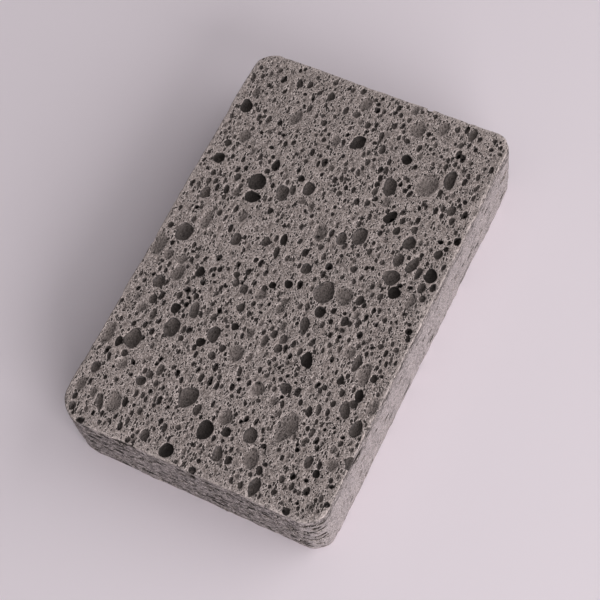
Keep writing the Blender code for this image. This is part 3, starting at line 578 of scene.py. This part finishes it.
def net_faces(solid, number, axis):
    """One face across each edge of the grid along this axis that the surface cuts."""
    one, two = (axis + 1) % 3, (axis + 2) % 3
    trim = [slice(1, size - 1) for size in SHAPE]
    trim[axis] = slice(0, SHAPE[axis] - 1)
    after = list(trim)
    after[axis] = slice(1, SHAPE[axis])
    edges = np.argwhere(solid[tuple(trim)] != solid[tuple(after)])
    edges[:, one] += 1
    edges[:, two] += 1
    boxes_round = []
    for shift_one, shift_two in ((0, 0), (-1, 0), (-1, -1), (0, -1)):
        at = edges.copy()
        at[:, one] += shift_one
        at[:, two] += shift_two
        boxes_round.append(number[tuple(at.T)])
    quads = np.stack(boxes_round, axis=1)
    outward = solid[tuple(edges.T)]
    quads[~outward] = quads[~outward][:, ::-1]
    return quads


def main_body(points, faces):
    """Only the largest connected piece: no crumbs left in the air and no bubble sealed inside."""
    ends = np.concatenate([faces[:, [0, 1]], faces[:, [1, 2]], faces[:, [2, 3]]])
    label = np.arange(len(points))
    while True:
        roots = np.sort(label[ends], axis=1)
        apart = roots[:, 0] != roots[:, 1]
        if not apart.any():
            break
        ends, roots = ends[apart], roots[apart]
        np.minimum.at(label, roots[:, 1], roots[:, 0])
        while not np.array_equal(label, label[label]):
            label = label[label]
    kept = label == np.bincount(label).argmax()
    number = np.cumsum(kept) - 1
    return points[kept], number[faces[kept[faces[:, 0]]]]


def new_mesh(name, points, faces):
    mesh = bpy.data.meshes.new(name)
    mesh.vertices.add(len(points))
    mesh.vertices.foreach_set("co", points.ravel())
    mesh.loops.add(faces.size)
    mesh.loops.foreach_set("vertex_index", faces.astype(np.int32).ravel())
    mesh.polygons.add(len(faces))
    mesh.polygons.foreach_set("loop_start", np.arange(0, faces.size, 4, dtype=np.int32))
    mesh.update(calc_edges=True)
    mesh.validate()
    return mesh


def thin_out(obj, points, faces):
    """Fewer triangles, most of them kept on the top face and its cells. It works in millimetres."""
    on_top = points[:, 2] > THICKNESS - TOP_DEPTH
    on_top_faces = on_top[faces].any(axis=1).sum()
    count = 2 * len(faces)
    for name, chosen, goal in (("rest", ~on_top, 2 * on_top_faces + REST_TRIANGLES),
                               ("top", on_top, TOP_TRIANGLES + REST_TRIANGLES)):
        obj.vertex_groups.new(name=name).add(np.flatnonzero(chosen).tolist(), 1.0, "REPLACE")
        thin = obj.modifiers.new(name, "DECIMATE")
        thin.ratio = min(1.0, goal / count)
        thin.vertex_group = name
        count = min(goal, count)
    evaluated = obj.evaluated_get(bpy.context.evaluated_depsgraph_get())
    finished = bpy.data.meshes.new_from_object(evaluated)
    old = obj.data
    obj.modifiers.clear()
    obj.vertex_groups.clear()
    obj.data = finished
    bpy.data.meshes.remove(old)


def sample(values, points):
    """The grid's values at the points, each weighted between the eight grid points round it."""
    place = (points - [axis[0] for axis in GRID]) / STEP
    first = np.floor(place).astype(int)
    part = place - first
    total = np.zeros(len(points))
    for corner in np.ndindex(2, 2, 2):
        weight = np.prod(np.where(corner, part, 1 - part), axis=1)
        total += weight * values[tuple((first + corner).T)]
    return total


def rim_share(x, y, z):
    """Where the rims' painted highlight goes: one on the rims of the block's two faces, falling to nought
    away from them.
    """
    from_face = np.minimum(z, THICKNESS - z)
    from_side = -block_distance(x, y, np.full_like(z, THICKNESS / 2))
    return np.exp(-np.hypot(from_face, from_side) / RIM_HIGHLIGHT_WIDTH)


def add_attribute(mesh, name, values):
    attribute = mesh.attributes.new(name, "FLOAT", "POINT")
    attribute.data.foreach_set("value", values.astype(np.float32))


def make_sponge():
    """The block with its cells, and at each point how deep, how walled in and how near the rim it is, and its
    painted shade.
    """
    foam = Foam()
    open_top(foam)
    open_face(foam, blank_sheet(WIDTH, LENGTH), 0.0, 1, UNDERSIDE_TRIES)
    open_sides(foam)
    field = blur(foam.field, SMOOTHING_WEIGHTS)
    points, faces = main_body(*surface_net(field))
    sponge = bpy.data.objects.new("sponge_block", new_mesh("sponge_block", points, faces))
    bpy.context.scene.collection.objects.link(sponge)
    thin_out(sponge, points, faces)
    mesh = sponge.data
    places = np.empty(3 * len(mesh.vertices), np.float32)
    mesh.vertices.foreach_get("co", places)
    places = places.reshape(-1, 3)
    mesh.transform(Matrix.Scale(MM, 4))
    # How walled in each point is: painted shade in tight pockets and painted highlight on ridges go by it
    solid_share = blur(np.clip(0.5 - field / STEP, 0, 1), POCKET_WEIGHTS)
    add_attribute(mesh, "pocket", sample(solid_share, places))
    # The cells' painted shade
    add_attribute(mesh, "cell_shade", sample(foam.cell_shade, places))
    add_attribute(mesh, "depth", -block_distance(*places.T))
    # How near the rims each point is, for their painted highlight
    add_attribute(mesh, "rim", rim_share(*places.T))
    mesh.shade_smooth()
    mesh.set_sharp_from_angle(angle=SHARP_ANGLE)
    return sponge


# The greys: painted highlight, the top face, dark tone and painted shade, pale tone and painted highlight,
# the sides, painted shade
RIDGE_HIGHLIGHT_GREY = (0.41, 0.337, 0.319, 1)
MID_GREY = (0.25, 0.205, 0.193, 1)
DARK_TONE_AND_SHADE_GREY = (0.022, 0.017, 0.015, 1)
PALE_TONE_AND_HIGHLIGHT_GREY = (0.68, 0.576, 0.557, 1)
SIDE_GREY = (0.283, 0.247, 0.252, 1)
DEEP_SHADE_GREY = (0.036, 0.029, 0.027, 1)
ROUGHNESS = 0.92
SPECULAR = 0.25
BUMP_HEIGHT = 0.35

# How far apart the marks of each pattern in the material lie, along X, Y and Z
MEDIUM_PORES = (0.7, 1.3, 0.5)
FINE_PORES = (0.38, 0.68, 0.28)
LONG_DASHES = (3.6, 3.6, 1.1)
SHORT_DASHES = (1.3, 1.3, 0.7)
LUMPS = (0.38, 0.6, 0.3)
STREAKS = (2.3, 2.3, 0.7)
GRAIN = (0.7, 0.7, 0.6)
CLOUDS = (14.0, 18.0, 8.0)
RAGGED_EDGE = (1.3, 1.3, 1.3)
PATTERN_LEAN = 5

# The smallest and largest radius in each pattern of dots, as a share of the space between them. Dots with a
# radius under nought don't show.
MEDIUM_RADII = (0.02, 0.47)
FINE_RADII = (0.08, 0.45)
LONG_RADII = (-0.25, 0.45)
SHORT_RADII = (-0.05, 0.45)
DOT_BLUR = 0.05
# How far out the painted highlight of a pore's ring reaches, as shares of the spacing
RING_REACH = (0.26, 0.08)
DOT_WARP = 0.4
WARP_SCALE = 1.7

# The heights between which the long sides, calm below, take on the marks and the shade of the rim
CALM_HEIGHT = 15 * MM
MARKED_HEIGHT = 19 * MM
RIM_HEIGHT = 20 * MM


class Shader:
    """Short calls that add nodes to one material and link them."""

    def __init__(self, name):
        self.material = bpy.data.materials.new(name)
        self.material.use_nodes = True
        self.tree = self.material.node_tree
        self.surface = self.tree.nodes["Principled BSDF"]

    def add(self, kind, settings=None, **inputs):
        node = self.tree.nodes.new(kind)
        for key, value in (settings or {}).items():
            setattr(node, key, value)
        for name, value in inputs.items():
            self.put(node.inputs[name.replace("_", " ")], value)
        return node

    def put(self, socket, value):
        if isinstance(value, bpy.types.NodeSocket):
            self.tree.links.new(value, socket)
        else:
            socket.default_value = value

    def math(self, operation, first, second, clamp=False):
        node = self.add("ShaderNodeMath", {"operation": operation, "use_clamp": clamp})
        self.put(node.inputs[0], first)
        self.put(node.inputs[1], second)
        return node.outputs[0]

    def ramp(self, value, low, high, start=0.0, end=1.0):
        """Start up to where the value is low, end from where it is high, and smooth between."""
        return self.add("ShaderNodeMapRange", {"interpolation_type": "SMOOTHSTEP"}, Value=value,
                        From_Min=low, From_Max=high, To_Min=start, To_Max=end).outputs["Result"]

    def mix(self, share, first, second):
        node = self.add("ShaderNodeMix", {"data_type": "RGBA"})
        self.put(node.inputs[0], share)
        self.put(node.inputs[6], first)
        self.put(node.inputs[7], second)
        return node.outputs[2]

    def attribute(self, name):
        return self.add("ShaderNodeAttribute", {"attribute_name": name}).outputs["Fac"]

    def place(self, size, lean=0.0):
        """Object coordinates in which a block of this size, in millimetres, measures one each way."""
        coordinates = self.add("ShaderNodeTexCoord").outputs["Object"]
        turned = self.add("ShaderNodeMapping", Vector=coordinates, Rotation=(0, 0, math.radians(-lean)))
        scale = tuple(1 / (length * MM) for length in size)
        return self.add("ShaderNodeMapping", Vector=turned.outputs[0], Scale=scale).outputs[0]

    def noise(self, place, detail=2.0, roughness=0.5):
        return self.add("ShaderNodeTexNoise", Vector=place, Scale=1.0, Detail=detail,
                        Roughness=roughness).outputs["Fac"]

    def facing(self, axis):
        """How far the surface faces along this axis, either way: from nought to one."""
        normal = self.add("ShaderNodeTexCoord").outputs["Normal"]
        along = self.add("ShaderNodeSeparateXYZ", Vector=normal).outputs[axis]
        return self.math("ABSOLUTE", along, 0.0)

    def height(self):
        coordinates = self.add("ShaderNodeTexCoord").outputs["Object"]
        return self.add("ShaderNodeSeparateXYZ", Vector=coordinates).outputs["Z"]

    def warp(self, place, share):
        """The place moved about a little, so that what is laid out there turns out uneven."""
        shifts = self.add("ShaderNodeTexNoise", Vector=place, Scale=WARP_SCALE, Detail=1.0).outputs["Color"]
        moved = self.add("ShaderNodeVectorMath", {"operation": "MULTIPLY_ADD"})
        self.put(moved.inputs[0], shifts)
        self.put(moved.inputs[1], (share, share, share))
        self.put(moved.inputs[2], place)
        return moved.outputs[0]

    def dots(self, place, smallest, largest):
        """Chance dots, with radii between these shares of their spacing, and a ring round each for a painted
        highlight.
        """
        cell = self.add("ShaderNodeTexVoronoi", Vector=self.warp(place, DOT_WARP), Scale=1.0)
        chance = self.add("ShaderNodeSeparateColor", Color=cell.outputs["Color"]).outputs[0]
        radius = self.math("ADD", self.math("MULTIPLY", chance, largest - smallest), smallest)
        inside = self.math("SUBTRACT", radius, cell.outputs["Distance"])
        dot = self.ramp(inside, -DOT_BLUR, DOT_BLUR)
        far, near = RING_REACH
        ring_highlight = self.math("SUBTRACT", self.ramp(inside, -far, -near), dot, clamp=True)
        return dot, ring_highlight


def face_pores(shader, depth, on_side):
    """The pores too small for the mesh, medium and fine, for painted shade, and the rings round them, for
    painted highlight.
    """
    on_face = shader.ramp(depth, 0.15, 0.7, 1.0, 0.35)
    on_face = shader.math("MULTIPLY", on_face, shader.ramp(on_side, 0.0, 1.0, 1.0, 0.6))
    medium, medium_ring_highlight = shader.dots(shader.place(MEDIUM_PORES, PATTERN_LEAN), *MEDIUM_RADII)
    fine, fine_ring_highlight = shader.dots(shader.place(FINE_PORES, PATTERN_LEAN), *FINE_RADII)
    ring_highlights = shader.math("MAXIMUM", medium_ring_highlight, fine_ring_highlight)
    return [shader.math("MULTIPLY", marks, on_face) for marks in (medium, fine, ring_highlights)]


def side_dashes(shader, side_marks):
    """Dark dashes in the cut sides: slots, painted dark for the shade in them."""
    long_dash = shader.dots(shader.place(LONG_DASHES), *LONG_RADII)[0]
    short_dash = shader.dots(shader.place(SHORT_DASHES), *SHORT_RADII)[0]
    dashes = shader.math("MAXIMUM", long_dash, shader.math("MULTIPLY", short_dash, 0.9))
    return shader.math("MULTIPLY", dashes, side_marks)


def face_color(shader, lumps):
    """Painted highlight on ridges and lump tops, painted shade in lump hollows, and faint clouds of darker
    tone.
    """
    # Ridges, where little solid lies round a point, get a painted highlight
    pocket = shader.ramp(shader.attribute("pocket"), 0.5, 0.36)
    clouds = shader.noise(shader.place(CLOUDS))
    color = shader.mix(pocket, MID_GREY, RIDGE_HIGHLIGHT_GREY)
    color = shader.mix(shader.ramp(clouds, 0.3, 0.7, 0.0, 0.16), color, DARK_TONE_AND_SHADE_GREY)
    # Lump tops get a painted highlight and their hollows painted shade
    color = shader.mix(shader.ramp(lumps, 0.45, 0.65, 0.0, 0.5), color, RIDGE_HIGHLIGHT_GREY)
    return shader.mix(shader.ramp(lumps, 0.5, 0.32, 0.0, 0.5), color, DARK_TONE_AND_SHADE_GREY)


def side_color(shader, streaks, side_marks, calm):
    """Grainy and streaked on the short sides, nearly plain on the long ones, with some shade by the rim."""
    grain = shader.noise(shader.place(GRAIN), 1.0, 0.6)
    color = shader.mix(shader.ramp(grain, 0.5, 0.65, 0.0, 0.3), SIDE_GREY, PALE_TONE_AND_HIGHLIGHT_GREY)
    color = shader.mix(shader.ramp(grain, 0.53, 0.35, 0.0, 0.8), color, DARK_TONE_AND_SHADE_GREY)
    color = shader.mix(calm, color, SIDE_GREY)
    streaked = shader.math("MULTIPLY", shader.ramp(streaks, 0.53, 0.36, 0.0, 0.85), side_marks)
    color = shader.mix(streaked, color, DARK_TONE_AND_SHADE_GREY)
    shade = shader.math("MULTIPLY", shader.ramp(shader.facing("X"), 0.6, 0.95),
                        shader.ramp(shader.height(), CALM_HEIGHT, RIM_HEIGHT, 0.0, 0.3))
    return shader.mix(shade, color, DARK_TONE_AND_SHADE_GREY)


def paint_cell_shade(shader, color, depth):
    """Painted shade inside the cells: each cell's own share, more deep down, and more between close walls."""
    cell_shade = shader.math("MULTIPLY", shader.attribute("cell_shade"), shader.ramp(depth, 0.02, 0.25))
    color = shader.mix(cell_shade, color, DEEP_SHADE_GREY)
    color = shader.mix(shader.ramp(depth, 0.2, 1.2, 0.0, 0.15), color, DEEP_SHADE_GREY)
    return shader.mix(shader.ramp(shader.attribute("pocket"), 0.7, 0.9, 0.0, 0.4), color, DEEP_SHADE_GREY)


def sponge_material():
    shader = Shader("grey_cellulose")
    depth = shader.attribute("depth")
    ragged = shader.noise(shader.place(RAGGED_EDGE))
    turned_up = shader.math("ADD", shader.facing("Z"), shader.math("SUBTRACT", ragged, 0.5))
    on_side = shader.ramp(turned_up, 0.8, 0.4)
    on_long_side = shader.ramp(shader.facing("X"), 0.04, 0.3)
    calm = shader.math("MULTIPLY", on_long_side,
                       shader.ramp(shader.height(), CALM_HEIGHT, MARKED_HEIGHT, 0.85, 0.2))
    side_marks = shader.math("MULTIPLY", on_side, shader.math("SUBTRACT", 1.0, calm))

    medium, fine, ring_highlights = face_pores(shader, depth, on_side)
    dashes = side_dashes(shader, side_marks)
    lumps = shader.noise(shader.place(LUMPS, PATTERN_LEAN), 1.0, 0.6)
    streaks = shader.noise(shader.place(STREAKS), 2.0, 0.65)
    low = shader.math("ADD", shader.math("MULTIPLY", medium, 0.9), shader.math("MULTIPLY", fine, 0.8))
    low = shader.math("ADD", low, dashes)
    streaky = shader.math("MULTIPLY", streaks, shader.math("MULTIPLY", side_marks, 2.0))
    relief = shader.math("SUBTRACT", shader.math("ADD", lumps, streaky), low)
    bump = shader.add("ShaderNodeBump", Height=relief, Strength=1.0, Distance=BUMP_HEIGHT * MM)

    color = face_color(shader, lumps)
    color = shader.mix(on_side, color, side_color(shader, streaks, side_marks, calm))
    # Painted highlight on the rings round the pores
    color = shader.mix(shader.math("MULTIPLY", ring_highlights, 0.75), color, PALE_TONE_AND_HIGHLIGHT_GREY)
    # Painted shade: the small pores, and the dashes of the sides, are painted dark for the shade inside them
    painted_shade = shader.math("MAXIMUM", shader.math("MULTIPLY", medium, 0.88), fine)
    color = shader.mix(shader.math("MAXIMUM", painted_shade, dashes), color, DARK_TONE_AND_SHADE_GREY)
    # Painted highlight along the rims of the short sides, ragged
    rim_highlight = shader.math("MULTIPLY", shader.attribute("rim"), shader.ramp(ragged, 0.3, 0.55, 0.2, 1.0))
    rim_highlight = shader.math("MULTIPLY", rim_highlight, shader.ramp(shader.facing("X"), 0.5, 0.9, 1.0, 0.0))
    color = shader.mix(rim_highlight, color, PALE_TONE_AND_HIGHLIGHT_GREY)
    # Painted shade inside the cells
    color = paint_cell_shade(shader, color, depth)

    shader.put(shader.surface.inputs["Base Color"], color)
    shader.put(shader.surface.inputs["Normal"], bump.outputs[0])
    shader.surface.inputs["Roughness"].default_value = ROUGHNESS
    shader.surface.inputs["Specular IOR Level"].default_value = SPECULAR
    return shader.material


FLOOR_REACH = 3.0
FLOOR_COLOR = (0.84, 0.75, 0.81, 1)
FLOOR_ROUGHNESS = 0.6


def make_floor():
    material = bpy.data.materials.new("pale_floor")
    material.use_nodes = True
    surface = material.node_tree.nodes["Principled BSDF"]
    surface.inputs["Base Color"].default_value = FLOOR_COLOR
    surface.inputs["Roughness"].default_value = FLOOR_ROUGHNESS
    corners = [(x * FLOOR_REACH, y * FLOOR_REACH, 0) for x, y in ((-1, -1), (1, -1), (1, 1), (-1, 1))]
    mesh = bpy.data.meshes.new("floor")
    mesh.from_pydata(corners, [], [(0, 1, 2, 3)])
    mesh.materials.append(material)
    floor = bpy.data.objects.new("floor", mesh)
    bpy.context.scene.collection.objects.link(floor)


# The lamps: azimuth and elevation in degrees, size in metres and power in watts
LAMPS = {
    "window": (33, 24, 1.7, 11.5),
    "corner_fill": (-33, 15, 1.0, 15.5),
    "ceiling": (-90, 85, 1.4, 1.7),
}
LAMP_DISTANCE = 1.2
ROOM_STRENGTH = 0.22


def add_lamp(name, azimuth, elevation, size, power):
    """A round soft lamp that faces the sponge."""
    light = bpy.data.lights.new(name, "AREA")
    light.shape = "DISK"
    light.size = size
    light.energy = power
    lamp = bpy.data.objects.new(name, light)
    turn, rise = math.radians(azimuth), math.radians(elevation)
    direction = Vector((math.cos(rise) * math.cos(turn), math.cos(rise) * math.sin(turn), math.sin(rise)))
    lamp.location = LAMP_DISTANCE * direction
    lamp.rotation_euler = (-direction).to_track_quat("-Z", "Y").to_euler()
    bpy.context.scene.collection.objects.link(lamp)


def make_light():
    for name, settings in LAMPS.items():
        add_lamp(name, *settings)
    world = bpy.data.worlds.new("room")
    bpy.context.scene.world = world
    world.use_nodes = True
    background = world.node_tree.nodes["Background"]
    background.inputs["Color"].default_value = (1, 1, 1, 1)
    background.inputs["Strength"].default_value = ROOM_STRENGTH


# The photograph's camera, found from the block's outline: where it stands as seen from the block
CAMERA_AZIMUTH = 39.08
CAMERA_ELEVATION = 63.84
CAMERA_ROLL = -13.99
CAMERA_DISTANCE = 0.3979
CAMERA_TARGET = (-0.0004, 0.0020, 0.0)
CAMERA_LENS = 94.44
CAMERA_SENSOR = 36.0


def make_camera():
    camera_data = bpy.data.cameras.new("camera")
    camera_data.lens = CAMERA_LENS
    camera_data.sensor_width = CAMERA_SENSOR
    camera = bpy.data.objects.new("camera", camera_data)
    turn, rise = math.radians(CAMERA_AZIMUTH), math.radians(CAMERA_ELEVATION)
    back = Vector((math.sin(turn) * math.cos(rise), -math.cos(turn) * math.cos(rise), math.sin(rise)))
    right = Vector((0, 0, 1)).cross(back).normalized()
    up = back.cross(right)
    roll = Matrix.Rotation(math.radians(CAMERA_ROLL), 3, "Z")
    axes = Matrix((right, up, back)).transposed() @ roll
    camera.matrix_world = Matrix.Translation(Vector(CAMERA_TARGET) + CAMERA_DISTANCE * back) @ axes.to_4x4()
    bpy.context.scene.collection.objects.link(camera)
    bpy.context.scene.camera = camera


make_camera()
sponge = make_sponge()
sponge.data.materials.append(sponge_material())
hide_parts("sponge")
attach(sponge, "root")
make_floor()
make_light()
bpy.context.scene.view_settings.view_transform = "Standard"
